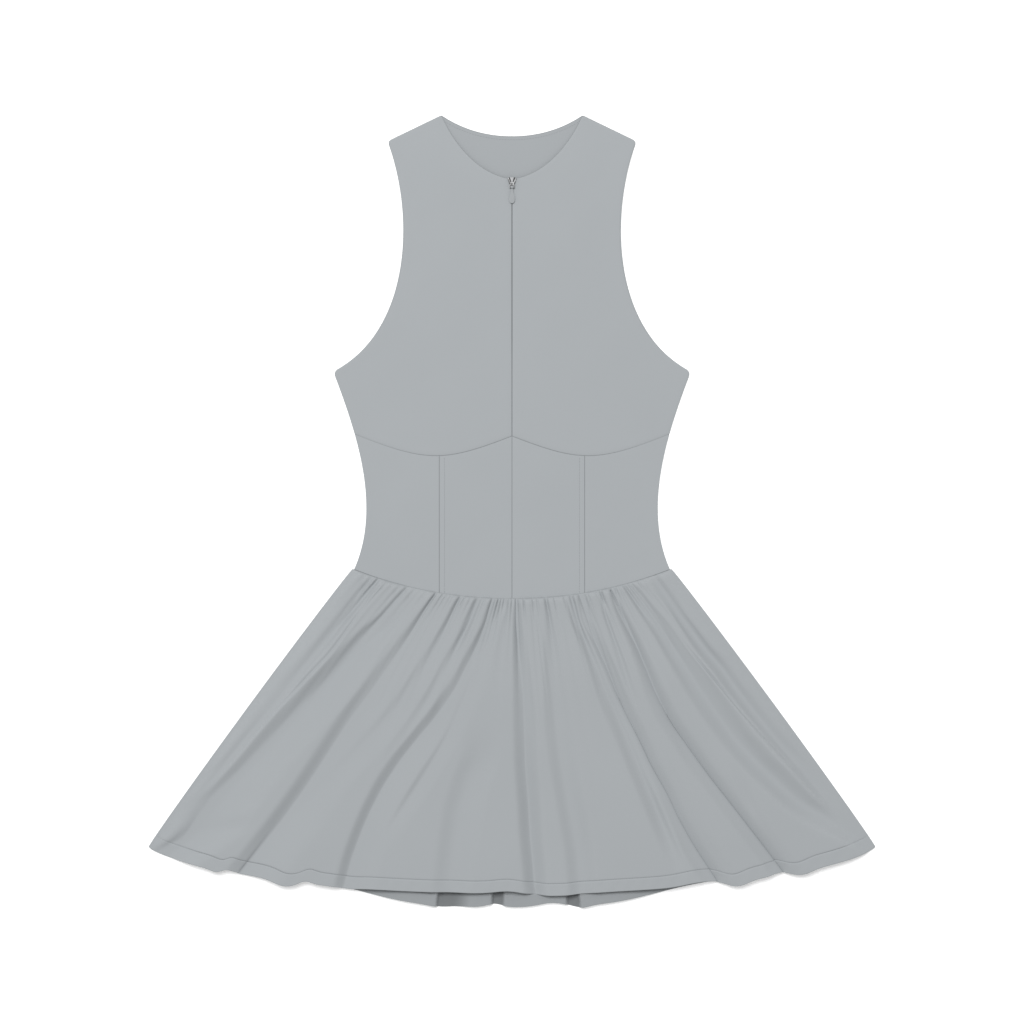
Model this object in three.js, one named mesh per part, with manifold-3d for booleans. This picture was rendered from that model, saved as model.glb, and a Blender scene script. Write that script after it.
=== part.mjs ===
// Sleeveless dress with a front zip and a gathered skirt, laid flat with its front up.
// Millimetres. X runs to the viewer's right, Y up to the neck and Z off the surface it lies on.
// Left and right are the viewer's.
import * as THREE from "three";
import { mergeVertices } from "three/addons/utils/BufferGeometryUtils.js";
import Module from "manifold-3d";

const wasm = await Module();
wasm.setup();

// Cloth: one knit layer, the gap between sewn pieces and how far the front rises off the back.
const wall = 1.2;
const seamGap = 0.3;
const zipGap = 0.8;
const frontRise = 2.4;
const riseHalfWidth = 165;
const riseFadeLength = 60;

// Bodice: heights along Y and half widths along X, both from the dress's middle.
const shoulderNeck = { x: 79, y: 444.8 };
const shoulderTip = { x: 139.4, y: 415.5 };
const underarm = { x: 200.3, y: 157.4 };
const waistSide = { x: 177, y: -64.4 };
const frontNeckY = 373.3;
const backNeckY = 421.4;
const underbustCentreY = 85.1;
const underbustSide = { x: 175.3, y: 87.1 };
const uprightSeamX = 81.4;
const waistCentreY = -97.2;
const waistPower = 2.1;

// Where the outlines' Bezier curves are pulled to between their ends.
const sideSeamPull = [[174.4, 89.5], [145.6, 6]];
const armholePull = [[112.5, 202.5], [108.3, 332.9]];
const frontNeckPull = [[37.1, 377.1], [66.1, 413.5]];
const backNeckPull = [[28.4, 421.1], [56.3, 429.3]];
const underbustPull = [[75.2, 55.8], [95.1, 54.9]];

// How many steps each edge of a panel is cut into.
const sideSteps = 4;
const armholeSteps = 10;
const frontNeckSteps = 9;
const shoulderSteps = 4;
const midriffSteps = 6;
const backSideSteps = 9;
const backNeckSteps = 8;
const halvings = 40;

// Skirt: half widths and hem heights. The hem hangs lower in the middle than at its corners.
const skirtWaistHalf = 178.5;
const skirtHemHalf = 407;
const skirtSideSwell = 4;
const hemCornerY = -375;
const hemDrop = 51;
const hemPower = 2.2;
const hemRoundness = 0.7;
const backHemExtra = 16.4;
const backHemExtraHalf = 172;
const backHemTuck = 3.4;

// Gathers: the pitch is uneven, and each is one raised column between two low ones.
const gatherColumns = 100;
const gatherUneven = 0.0045;
const gatherShiftPitch = 1.9;
const gatherHeightPitch = 2.3;
const gatherMean = 0.68;
const gatherSpread = 0.32;
const gatherShortest = 0.6;
const gatherLonger = 0.7;
const frontGather = { height: 1.9, fade: 0.14, shiftPhase: 0, heightPhase: 1 };
const backGather = { height: 0.9, fade: 0.12, shiftPhase: 2, heightPhase: 4 };
const clearBackFade = 1.4;
const skirtRows = [1, 0.95, 0.86, 0.74, 0.6, 0.46, 0.32, 0.2, 0.11, 0.045, 0];
const edgeFadePower = 24;
const hemLift = 0.4;

// Folds of the skirt's front. A place is a share of the half width, from -1 on the left to 1.
// Each is a ridge whose left flank is soft and whose right flank is steep.
const foldAtWaist = 0.2;
const foldGrowLength = 0.55;
const foldFadeStart = -0.4;
const frontFolds = [
  { waist: -0.9, hem: -1.0, bow: 0, start: 0.1, height: 2.5, left: 0.05, right: 0.03 },
  { waist: -0.69, hem: -0.99, bow: 0, start: 0.1, height: 2.5, left: 0.06, right: 0.03 },
  { waist: -0.51, hem: -0.79, bow: 0.01, start: 0.0, height: 6.5, left: 0.08, right: 0.028 },
  { waist: -0.35, hem: -0.68, bow: 0, start: 0.1, height: 3.2, left: 0.05, right: 0.035 },
  { waist: -0.24, hem: -0.53, bow: 0, start: 0.0, height: 6, left: 0.07, right: 0.028 },
  { waist: -0.14, hem: -0.41, bow: 0, start: 0.1, height: 2.6, left: 0.05, right: 0.03 },
  { waist: -0.12, hem: -0.25, bow: 0, start: 0.55, height: 2.6, left: 0.07, right: 0.05 },
  { waist: 0.0, hem: 0.015, bow: 0, start: 0.0, height: 5, left: 0.07, right: 0.028 },
  { waist: 0.18, hem: 0.14, bow: 0, start: 0.2, height: 2.8, left: 0.07, right: 0.05 },
  { waist: 0.41, hem: 0.505, bow: -0.06, start: 0.0, height: 6.5, left: 0.09, right: 0.024 },
  { waist: 0.52, hem: 0.69, bow: -0.035, start: 0.0, height: 6.5, left: 0.07, right: 0.026 },
  { waist: 0.7, hem: 0.89, bow: -0.06, start: 0.0, height: 4.5, left: 0.06, right: 0.03 },
  { waist: 0.85, hem: 0.97, bow: -0.03, start: 0.1, height: 2.5, left: 0.04, right: 0.03 },
];

// Flutes of the skirt's back, arched off the surface at the hem.
const fluteHeight = 3;
const fluteStart = 0.35;
const backFlutes = [
  { waist: -0.8, hem: -0.82, height: 0.7, width: 0.05 },
  { waist: -0.45, hem: -0.55, height: 0.9, width: 0.05 },
  { waist: -0.15, hem: -0.188, height: 1, width: 0.028 },
  { waist: -0.04, hem: -0.04, height: 0.9, width: 0.022 },
  { waist: 0.12, hem: 0.165, height: 1, width: 0.026 },
  { waist: 0.4, hem: 0.46, height: 0.9, width: 0.05 },
  { waist: 0.7, hem: 0.8, height: 0.7, width: 0.05 },
];

// Waves of each hem line as it runs over the folds: how far it drops and how wide the wave is.
const frontHemWaves = [
  { place: -0.81, drop: 2.6, width: 0.025 },
  { place: -0.785, drop: -3.4, width: 0.02 },
  { place: -0.625, drop: 5.6, width: 0.04 },
  { place: -0.567, drop: -3, width: 0.022 },
  { place: -0.45, drop: 2, width: 0.04 },
  { place: -0.01, drop: -2.8, width: 0.05 },
  { place: 0.12, drop: 3, width: 0.1 },
  { place: 0.52, drop: -3.6, width: 0.06 },
  { place: 0.62, drop: 5.8, width: 0.038 },
  { place: 0.735, drop: -3.2, width: 0.025 },
  { place: 0.8, drop: 4, width: 0.035 },
];
const backHemWaves = [
  { place: -0.2, drop: 1.8, width: 0.04 },
  { place: -0.05, drop: -3.2, width: 0.03 },
  { place: 0.11, drop: -4.4, width: 0.05 },
  { place: 0.19, drop: 2.6, width: 0.03 },
];

// Concealed zip: tapes behind the front edges, the slider on the front and its pull tab.
const tapeWidth = 9.5;
const tapeThickness = 0.5;
const coilWidth = 1.6;
const coilThickness = 1;
const zipBottomY = 80;
const sliderTopY = 374.6;
const sliderLength = 9;
const sliderTopHalf = 4.9;
const sliderBottomHalf = 2.4;
const sliderThickness = 1.2;
const sliderShoulder = 1.2;
const throatHalf = 0.8;
const throatFloor = 0.35;
const throatLength = 5.2;
const throatTopX = 3.5;
const throatBottomX = 1.35;
const windowRadius = 0.8;
const windowDrop = 7.6;
const windowSides = 16;
const earInnerX = 1.75;
const earThickness = 0.9;
const earReach = 4.2;
const earBelowPin = 1;
const earOverPin = 0.5;
const pinRadius = 0.6;
const pinDrop = 2.1;
const pinHeight = 1.9;
const eyeHole = 0.8;
const eyeRadius = 1.5;
const eyeHalfWidth = 1.4;
const tabLength = 18;
const tabThickness = 1;
const tabNeckHalf = 1.4;
const tabBellyHalf = 3.2;
const tabBellyAt = 12.6;
const tabNeckEnd = 3;
const tabSwellFrom = 7;
const tabSwellTo = 9;
const tabTipHalf = 1.8;
const tabTipPull = 1;
const rodSides = 24;
const pinSides = 16;
const tabCurveSteps = 8;

const frontFloor = wall + seamGap;
const clothTop = frontFloor + frontRise + wall;

const clothLook = { color: 0xadb1b4, roughness: 0.86, metalness: 0 };
const metalLook = { color: 0xd4d6d8, roughness: 0.3, metalness: 0.9 };
const tabLook = { color: 0xadb1b4, roughness: 0.5, metalness: 0.1 };

// Plan outlines of the right half, as Bezier curves.
const vec = (x, y) => new THREE.Vector2(x, y);
const bezier = (...ends) => new THREE.CubicBezierCurve(...ends.map(([x, y]) => vec(x, y)));

const sideSeam = bezier(
  [underarm.x, underarm.y],
  ...sideSeamPull,
  [waistSide.x, waistSide.y],
);
const armhole = bezier(
  [underarm.x, underarm.y],
  ...armholePull,
  [shoulderTip.x, shoulderTip.y],
);
const frontNeck = bezier(
  [zipGap / 2, frontNeckY],
  ...frontNeckPull,
  [shoulderNeck.x, shoulderNeck.y],
);
const backNeck = bezier(
  [0, backNeckY],
  ...backNeckPull,
  [shoulderNeck.x, shoulderNeck.y],
);
const shoulder = new THREE.LineCurve(
  vec(shoulderNeck.x, shoulderNeck.y),
  vec(shoulderTip.x, shoulderTip.y),
);
const underbust = bezier(
  [0, underbustCentreY],
  ...underbustPull,
  [underbustSide.x, underbustSide.y],
);

function waistY(x) {
  const climb = waistSide.y - waistCentreY;
  return waistCentreY + climb * Math.abs(x / waistSide.x) ** waistPower;
}

// Share of a curve at which its x or y reaches a value, found by halving.
function shareAt(curve, axis, value) {
  const rising = curve.getPoint(1)[axis] > curve.getPoint(0)[axis];
  let low = 0;
  let high = 1;
  for (let step = 0; step < halvings; step++) {
    const middle = (low + high) / 2;
    if (curve.getPoint(middle)[axis] < value === rising) low = middle;
    else high = middle;
  }
  return low;
}

// Points along a stretch of a curve, both ends included.
function stretch(curve, from, to, steps) {
  const at = (i) => curve.getPoint(from + ((to - from) * i) / steps);
  return Array.from({ length: steps + 1 }, (_, i) => at(i));
}

// Points of several stretches in a row, each joined to the last at its first point.
const joined = (...parts) => parts.flatMap((part, i) => (i ? part.slice(1) : part));

// How far along a line of points each one lies, from 0 to 1.
function shares(points) {
  const lengths = [0];
  for (let i = 1; i < points.length; i++) {
    lengths.push(lengths[i - 1] + points[i].distanceTo(points[i - 1]));
  }
  return lengths.map((length) => length / lengths.at(-1));
}

// Plan points inside four edges: straight blends across and up, less the blend of the corners.
// The lower edge and the inner edge are functions of a share, the other two are points.
function patch(lower, upper, inner, outer) {
  const across = shares(upper);
  const up = shares(outer);
  const mix = (a, b, share) => a.clone().lerp(b, share);
  return up.map((t, row) =>
    across.map((s, column) => {
      const vertical = mix(lower(s), upper[column], t);
      const level = mix(inner(t), outer[row], s);
      const corners = mix(mix(lower(0), lower(1), s), mix(upper[0], upper.at(-1), s), t);
      return vertical.add(level).sub(corners);
    }),
  );
}

const line = (a, b) => (share) => a.clone().lerp(b, share);
const mirrored = (grid) =>
  grid.map((row) => row.map((p) => vec(-p.x, p.y)).reverse());

// Height of the front's underside over the bodice: highest in the middle, flat to the sides.
function frontUnderside(x, y) {
  const sides = Math.max(0, 1 - (x / riseHalfWidth) ** 2);
  const neck = THREE.MathUtils.smoothstep(shoulderNeck.y - y, 0, riseFadeLength);
  return frontFloor + frontRise * sides * neck;
}

// A closed wall whose underside follows a grid of points, rows going up and columns right.
function wallOver(grid, underside) {
  const columns = grid[0].length;
  const count = grid.length * columns;
  const place = [];
  for (const raise of [wall, 0]) {
    for (const row of grid) {
      for (const p of row) place.push(p.x, p.y, underside(p.x, p.y, p) + raise);
    }
  }
  const faces = [];
  const quad = (a, b, c, d) => faces.push(a, b, c, a, c, d);
  const at = (row, column) => row * columns + column;
  for (let row = 0; row + 1 < grid.length; row++) {
    for (let column = 0; column + 1 < columns; column++) {
      const ring = [at(row, column), at(row, column + 1)];
      ring.push(at(row + 1, column + 1), at(row + 1, column));
      quad(...ring);
      quad(...ring.map((i) => i + count).reverse());
    }
  }
  const rim = [];
  const last = grid.length - 1;
  for (let column = 0; column + 1 < columns; column++) rim.push(at(0, column));
  for (let row = 0; row < last; row++) rim.push(at(row, columns - 1));
  for (let column = columns - 1; column > 0; column--) rim.push(at(last, column));
  for (let row = last; row > 0; row--) rim.push(at(row, 0));
  rim.forEach((a, i) => {
    const b = rim[(i + 1) % rim.length];
    quad(a, a + count, b + count, b);
  });
  const geometry = new THREE.BufferGeometry();
  geometry.setAttribute("position", new THREE.Float32BufferAttribute(place, 3));
  geometry.setIndex(faces);
  geometry.computeVertexNormals();
  return geometry;
}

// Bodice fronts, from the neck and shoulder down to the underbust seam.
function frontBodiceGrid() {
  const low = seamGap / 2;
  const underbustAt = shareAt(sideSeam, "y", underbustSide.y + low);
  const inner = zipGap / 2;
  const innerAt = shareAt(underbust, "x", inner);
  const lower = (share) => {
    const p = underbust.getPoint(innerAt + (1 - innerAt) * share);
    return vec(p.x, p.y + low);
  };
  const outer = joined(
    stretch(sideSeam, underbustAt, 0, sideSteps),
    stretch(armhole, 0, 1, armholeSteps),
  );
  outer[0] = lower(1);
  const upper = joined(
    stretch(frontNeck, 0, 1, frontNeckSteps),
    stretch(shoulder, 0, 1, shoulderSteps),
  );
  return patch(lower, upper, line(lower(0), upper[0]), outer);
}

// Midriff panels between two upright lines, or an upright line and the side seam.
function midriffGrid(innerX, outerX) {
  const low = seamGap / 2;
  const top = (share) => {
    const from = shareAt(underbust, "x", innerX);
    const to = outerX ? shareAt(underbust, "x", outerX) : 1;
    const p = underbust.getPoint(from + (to - from) * share);
    return vec(p.x, p.y - low);
  };
  const bottomEnd = outerX ?? waistSide.x;
  const lower = (share) => {
    const x = innerX + (bottomEnd - innerX) * share;
    return vec(x, waistY(x) + low);
  };
  const steps = midriffSteps;
  const upper = Array.from({ length: steps + 1 }, (_, i) => top(i / steps));
  const sideFrom = shareAt(sideSeam, "y", waistSide.y + low);
  const sideTo = shareAt(sideSeam, "y", underbustSide.y - low);
  const outer = outerX
    ? stretch(new THREE.LineCurve(lower(1), top(1)), 0, 1, steps)
    : stretch(sideSeam, sideFrom, sideTo, steps);
  outer[0] = lower(1);
  outer[steps] = top(1);
  return patch(lower, upper, line(lower(0), upper[0]), outer);
}

// The back bodice, one piece from side to side.
function backBodiceGrid() {
  const low = seamGap / 2;
  const lower = (share) => vec(waistSide.x * share, waistY(waistSide.x * share) + low);
  const outer = joined(
    stretch(sideSeam, 1, 0, backSideSteps),
    stretch(armhole, 0, 1, armholeSteps),
  );
  outer[0] = lower(1);
  const upper = joined(
    stretch(backNeck, 0, 1, backNeckSteps),
    stretch(shoulder, 0, 1, shoulderSteps),
  );
  const half = patch(lower, upper, line(lower(0), upper[0]), outer);
  return mirrored(half).map((row, i) => row.concat(half[i].slice(1)));
}

// The skirt fans out from the waist to the hem.
// place runs from -1 to 1 across it, and down from 0 at the waist to 1 at the hem.
const bell = (distance, width) => Math.exp(-((distance / width) ** 2));
const edgeFade = (place) => 1 - Math.abs(place) ** edgeFadePower;
const fadeDown = (down, fade) => Math.exp(-down / fade);
const growDown = (down, start) =>
  THREE.MathUtils.smoothstep(down, start, start + foldGrowLength);

function hemY(place, waves) {
  const round = (1 - Math.abs(place) ** hemPower) ** hemRoundness;
  const drops = waves.reduce((sum, w) => sum + w.drop * bell(place - w.place, w.width), 0);
  return hemCornerY - hemDrop * round - drops * edgeFade(place);
}

function backHemY(place) {
  const longer = bell((place * skirtHemHalf) ** 2, backHemExtraHalf ** 2);
  const tuck = backHemTuck * edgeFade(place);
  return hemY(place, backHemWaves) + tuck - (backHemExtra + backHemTuck) * longer;
}

function skirtGrid(hem, { shiftPhase }) {
  return skirtRows.map((down) => {
    const swell = skirtSideSwell * Math.sqrt(Math.sin(Math.PI * down));
    const half = THREE.MathUtils.lerp(skirtWaistHalf, skirtHemHalf, down) + swell;
    return Array.from({ length: gatherColumns + 1 }, (_, column) => {
      const even = (2 * column) / gatherColumns - 1;
      const wave = Math.sin(column * gatherShiftPitch + shiftPhase);
      const shift = gatherUneven * wave * edgeFade(even);
      const place = even + shift * (1 - down);
      const top = waistY(place * waistSide.x) - seamGap / 2;
      const p = vec(place * half, THREE.MathUtils.lerp(top, hem(place), down));
      return Object.assign(p, { place, down, column });
    });
  });
}

// One gather for every two columns, uneven in height.
function gathers({ column, down }, { height, fade, heightPhase }) {
  if (column % 2 === 0) return 0;
  const wave = Math.sin(column * gatherHeightPitch + heightPhase);
  const uneven = gatherMean + gatherSpread * wave;
  return height * uneven * fadeDown(down, fade * (gatherShortest + gatherLonger * uneven));
}

function frontFoldHeight({ place, down }) {
  return frontFolds.reduce((sum, fold) => {
    const bow = fold.bow * 4 * down * (1 - down);
    const ridge = THREE.MathUtils.lerp(fold.waist, fold.hem, down) + bow;
    const width = place < ridge ? fold.left : fold.right;
    const grown = THREE.MathUtils.lerp(foldAtWaist, 1, growDown(down, fold.start));
    const faded = growDown(down, foldFadeStart);
    return sum + fold.height * grown * bell(place - ridge, width) * faded;
  }, 0);
}

function backUnderside(x, y, p) {
  const flutes = backFlutes.reduce((most, flute) => {
    const middle = THREE.MathUtils.lerp(flute.waist, flute.hem, p.down);
    return Math.max(most, flute.height * bell(p.place - middle, flute.width));
  }, 0);
  const arch = fluteHeight * flutes * growDown(p.down, fluteStart);
  return (gathers(p, backGather) + arch) * edgeFade(p.place);
}

function skirtUnderside(x, y, p) {
  const sides = Math.max(0, 1 - (x / riseHalfWidth) ** 2);
  const rise = frontRise * sides * (1 - growDown(p.down, 0));
  const clearBack = backGather.height * fadeDown(p.down, backGather.fade * clearBackFade);
  const clearFlutes = fluteHeight * growDown(p.down, fluteStart);
  const folds = gathers(p, frontGather) + frontFoldHeight(p);
  const raised = rise + clearBack + clearFlutes + hemLift + folds;
  return frontFloor + raised * edgeFade(p.place);
}

// A tape with its half of the coil along its inner edge, extruded down the zip.
function tapeGeometry() {
  const low = frontFloor + frontRise - seamGap - coilThickness;
  const inner = seamGap / 2;
  const top = low + coilThickness;
  const profile = new THREE.Shape([
    vec(inner, low),
    vec(inner + coilWidth, low),
    vec(inner + coilWidth, top - tapeThickness),
    vec(inner + tapeWidth, top - tapeThickness),
    vec(inner + tapeWidth, top),
    vec(inner, top),
  ]);
  const depth = frontNeckY - zipBottomY;
  const geometry = new THREE.ExtrudeGeometry(profile, { depth, bevelEnabled: false });
  return geometry.rotateX(Math.PI / 2).translate(0, frontNeckY, 0);
}

// Solids for joining and cutting, and back to a geometry.
function solid(geometry) {
  const bare = geometry.clone();
  bare.deleteAttribute("normal");
  bare.deleteAttribute("uv");
  const merged = mergeVertices(bare, 1e-4);
  const vertProperties = new Float32Array(merged.attributes.position.array);
  const triVerts = new Uint32Array(merged.index.array);
  return new wasm.Manifold(new wasm.Mesh({ numProp: 3, vertProperties, triVerts }));
}

function geometryOf(made) {
  const { vertProperties, triVerts } = made.getMesh();
  const geometry = new THREE.BufferGeometry();
  geometry.setAttribute("position", new THREE.BufferAttribute(vertProperties, 3));
  geometry.setIndex(new THREE.BufferAttribute(triVerts, 1));
  geometry.computeVertexNormals();
  return geometry;
}

const rod = (radius, length, sides) =>
  new THREE.CylinderGeometry(radius, radius, length, sides).rotateZ(Math.PI / 2);
const plate = (points, depth) =>
  new THREE.ExtrudeGeometry(new THREE.Shape(points), { depth, bevelEnabled: false });

const pinY = sliderTopY - sliderLength - pinDrop;
const pinZ = clothTop + pinHeight;

// The slider: a wedge with two slanted throats, a window under them and two ears for the pin.
function sliderGeometry() {
  const bottomY = sliderTopY - sliderLength;
  const bottom = clothTop + seamGap;
  const wedge = plate(
    [
      vec(-sliderBottomHalf, bottomY),
      vec(sliderBottomHalf, bottomY),
      vec(sliderTopHalf, sliderTopY - sliderShoulder),
      vec(sliderTopHalf - sliderShoulder, sliderTopY),
      vec(-sliderTopHalf + sliderShoulder, sliderTopY),
      vec(-sliderTopHalf, sliderTopY - sliderShoulder),
    ],
    sliderThickness,
  ).translate(0, 0, bottom);
  let body = solid(wedge);
  for (const side of [-1, 1]) {
    const top = vec(side * throatTopX, sliderTopY + 1);
    const low = vec(side * throatBottomX, sliderTopY - throatLength);
    const points = [
      vec(low.x - throatHalf, low.y),
      vec(low.x + throatHalf, low.y),
      vec(top.x + throatHalf, top.y),
      vec(top.x - throatHalf, top.y),
    ];
    const throat = plate(points, 2 * sliderThickness).translate(0, 0, bottom + throatFloor);
    body = body.subtract(solid(throat));
    const earX = side * (earInnerX + earThickness / 2);
    const ear = new THREE.BoxGeometry(earThickness, earReach, 2 * (pinRadius + earOverPin))
      .translate(earX, pinY + earReach / 2 - earBelowPin, pinZ);
    body = body.add(solid(ear));
  }
  const windowHole = new THREE.CylinderGeometry(
    windowRadius, windowRadius, 2 * sliderThickness, windowSides,
  )
    .rotateX(Math.PI / 2)
    .translate(0, sliderTopY - windowDrop, bottom + throatFloor + sliderThickness);
  body = body.subtract(solid(windowHole));
  const pin = rod(pinRadius, 2 * earInnerX + earThickness, pinSides).translate(0, pinY, pinZ);
  return geometryOf(body.add(solid(pin)));
}

// The pull tab: a teardrop blade with an eye that runs on the slider's pin.
function tabGeometry() {
  const outline = new THREE.Shape();
  outline.moveTo(-tabNeckHalf, 0);
  outline.lineTo(-tabNeckHalf, -tabNeckEnd);
  const belly = [-tabBellyHalf, -tabBellyAt];
  const tip = -tabLength + tabTipPull;
  outline.bezierCurveTo(-tabNeckHalf, -tabSwellFrom, -tabBellyHalf, -tabSwellTo, ...belly);
  outline.bezierCurveTo(-tabBellyHalf, tip, -tabTipHalf, -tabLength, 0, -tabLength);
  outline.bezierCurveTo(tabTipHalf, -tabLength, tabBellyHalf, tip, -belly[0], belly[1]);
  outline.bezierCurveTo(
    tabBellyHalf, -tabSwellTo, tabNeckHalf, -tabSwellFrom, tabNeckHalf, -tabNeckEnd,
  );
  outline.lineTo(tabNeckHalf, 0);
  const blade = new THREE.ExtrudeGeometry(outline, {
    depth: tabThickness,
    bevelEnabled: false,
    curveSegments: tabCurveSteps,
  }).translate(0, pinY, clothTop + seamGap);
  const eye = rod(eyeRadius, 2 * eyeHalfWidth, rodSides).translate(0, pinY, pinZ);
  const hole = rod(eyeHole, 4 * eyeHalfWidth, rodSides).translate(0, pinY, pinZ);
  return geometryOf(solid(blade).add(solid(eye)).subtract(solid(hole)));
}

function named(name, geometry, look) {
  const mesh = new THREE.Mesh(geometry, new THREE.MeshStandardMaterial(look));
  mesh.name = name;
  return mesh;
}

// Bodice and midriff, each right-hand panel with its mirror image on the left.
const dress = new THREE.Group();
const frontPanels = {
  front_bodice: frontBodiceGrid(),
  midriff_centre: midriffGrid(seamGap / 2, uprightSeamX - seamGap / 2),
  midriff_side: midriffGrid(uprightSeamX + seamGap / 2),
};
for (const [name, grid] of Object.entries(frontPanels)) {
  dress.add(named(`${name}_right`, wallOver(grid, frontUnderside), clothLook));
  dress.add(named(`${name}_left`, wallOver(mirrored(grid), frontUnderside), clothLook));
}
dress.add(named("back_bodice", wallOver(backBodiceGrid(), () => 0), clothLook));

const frontSkirt = skirtGrid((place) => hemY(place, frontHemWaves), frontGather);
dress.add(named("skirt_front", wallOver(frontSkirt, skirtUnderside), clothLook));
const backSkirt = skirtGrid(backHemY, backGather);
dress.add(named("skirt_back", wallOver(backSkirt, backUnderside), clothLook));

const tape = tapeGeometry();
dress.add(named("zip_tape_right", tape, clothLook));
const leftTape = geometryOf(solid(tape).mirror([1, 0, 0]));
dress.add(named("zip_tape_left", leftTape, clothLook));
dress.add(named("zip_slider", sliderGeometry(), metalLook));
dress.add(named("zip_pull_tab", tabGeometry(), tabLook));

export default dress;
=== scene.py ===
import bpy
import numpy as np
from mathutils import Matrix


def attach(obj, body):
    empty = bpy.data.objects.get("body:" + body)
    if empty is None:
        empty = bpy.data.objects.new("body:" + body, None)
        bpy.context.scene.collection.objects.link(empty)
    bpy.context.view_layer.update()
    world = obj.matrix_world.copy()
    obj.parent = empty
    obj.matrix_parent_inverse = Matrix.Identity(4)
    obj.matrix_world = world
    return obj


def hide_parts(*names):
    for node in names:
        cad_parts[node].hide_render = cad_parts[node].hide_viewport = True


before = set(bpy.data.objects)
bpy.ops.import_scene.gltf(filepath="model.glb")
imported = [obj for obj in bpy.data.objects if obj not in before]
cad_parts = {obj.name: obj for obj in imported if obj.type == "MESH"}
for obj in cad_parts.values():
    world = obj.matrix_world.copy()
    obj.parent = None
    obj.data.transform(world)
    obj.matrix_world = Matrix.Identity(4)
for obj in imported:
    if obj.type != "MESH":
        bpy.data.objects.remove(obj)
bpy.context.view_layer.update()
mm = 0.001  # sizes below are in millimetres, meshes are made in metres

# Sizes that all the cloth shares. The front lies on the back and rises a little in the middle.
cloth = {
    "shell": 0.9,  # thickness
    "seamGap": 0.06, "zipGap": 0.3,
    "floor": 1.5,  # underside of the front where it lies on the back
    "rise": 2.4, "riseHalf": 165, "riseFade": 60, "edgeDip": 0.5, "seamDip": 0.12,
    "dipWidth": 1.3, "ripple": 0.3,
    "rippleFrom": 30,  # how far inside the edges it is whole
    "restGap": 0.02,  # under the back
    "rimSteps": (0, 0.04, 0.16, 0.4, 0.75, 1.1, 2.1),  # in halves of the thickness
    "edgeShadeWidth": 0.8,  # the rim that is darkened with painted shade
    "edgeShadeBelow": (150, 60, 0.35),  # from this height down the painted shade at the rim fades to a share
}
linePoints = {"curve": 120, "straight": 60, "corner": 13, "stitched": 80}
tiny = 1e-12


# Curves and lines in plan. A line is an array of points, read by its share of length.

def straight(a, b):
    # even steps from one point to the other
    return np.linspace(a, b, linePoints["straight"])


def bezier(*ends):
    # the cubic curve of four control points, at even steps of its parameter
    t = np.linspace(0, 1, linePoints["curve"])[:, None]
    a, b, c, d = np.asarray(ends, float)
    return (1 - t) ** 3 * a + 3 * (1 - t) ** 2 * t * b + 3 * (1 - t) * t * t * c + t ** 3 * d


def lengths(line):
    # distance along the line at each of its points
    return np.concatenate([[0], np.cumsum(np.linalg.norm(np.diff(line, axis=0), axis=1))])


def along(line, share):
    # points of the line at the given shares of its length
    run = lengths(line)
    return np.stack([np.interp(np.asarray(share) * run[-1], run, c) for c in line.T], axis=1)


def cut(line, fromMm, toMm):
    # the stretch of the line between two distances from its start, the second from its end
    total = lengths(line)[-1]
    return along(line, np.linspace(fromMm / total, 1 - toMm / total, len(line)))


def join(*parts):
    # one line from several, each of which starts where the last one ends
    return np.concatenate([parts[0]] + [part[1:] for part in parts[1:]])


def cornerBetween(a, b, radius):
    # a round corner: the quadratic curve from just before the meeting point to just after it
    start, middle, end = cut(a, 0, radius)[-1], a[-1], cut(b, radius, 0)[0]
    t = np.linspace(0, 1, linePoints["corner"])[:, None]
    return (1 - t) ** 2 * start + 2 * (1 - t) * t * middle + t * t * end


def rounded(a, b, radius):
    # two lines in a row with their corner rounded
    return join(cut(a, 0, radius), cornerBetween(a, b, radius), cut(b, radius, 0))


def smooth(value):
    # the smooth step from 0 to 1: 3 v^2 - 2 v^3
    value = np.clip(value, 0, 1)
    return value * value * (3 - 2 * value)


def bell(distance, width):
    # 1 in the middle, falling by exp(-(distance / width)^2)
    return np.exp(-(distance / width) ** 2)


# Meshes. A wall is a middle surface given as a grid, thickened both ways along its normals.

def evenWithRim(count, length):
    # shares from 0 to 1 in even steps, with extra ones near both ends to round the rim
    rim = np.array(cloth["rimSteps"]) * cloth["shell"] / 2 / length
    return np.concatenate([rim, np.linspace(rim[-1], 1 - rim[-1], count)[1:-1], 1 - rim[::-1]])


def gridNormals(points):
    # the cross product of the two directions of the grid
    normal = np.cross(np.gradient(points, axis=1), np.gradient(points, axis=0))
    return normal / np.maximum(np.linalg.norm(normal, axis=2, keepdims=True), tiny)


def edgeDistances(points):
    # how far each point of a grid lies from the four sides: left, right, low and high
    stepAcross = np.linalg.norm(np.diff(points[..., :2], axis=1), axis=2)
    stepUp = np.linalg.norm(np.diff(points[..., :2], axis=0), axis=2)
    left = np.pad(np.cumsum(stepAcross, axis=1), ((0, 0), (1, 0)))
    low = np.pad(np.cumsum(stepUp, axis=0), ((1, 0), (0, 0)))
    return left, left[:, -1:] - left, low, low[-1:] - low


def addObject(name, data):
    # puts a mesh, lamp or camera into the scene
    made = bpy.data.objects.new(name, data)
    bpy.context.scene.collection.objects.link(made)
    return made


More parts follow.
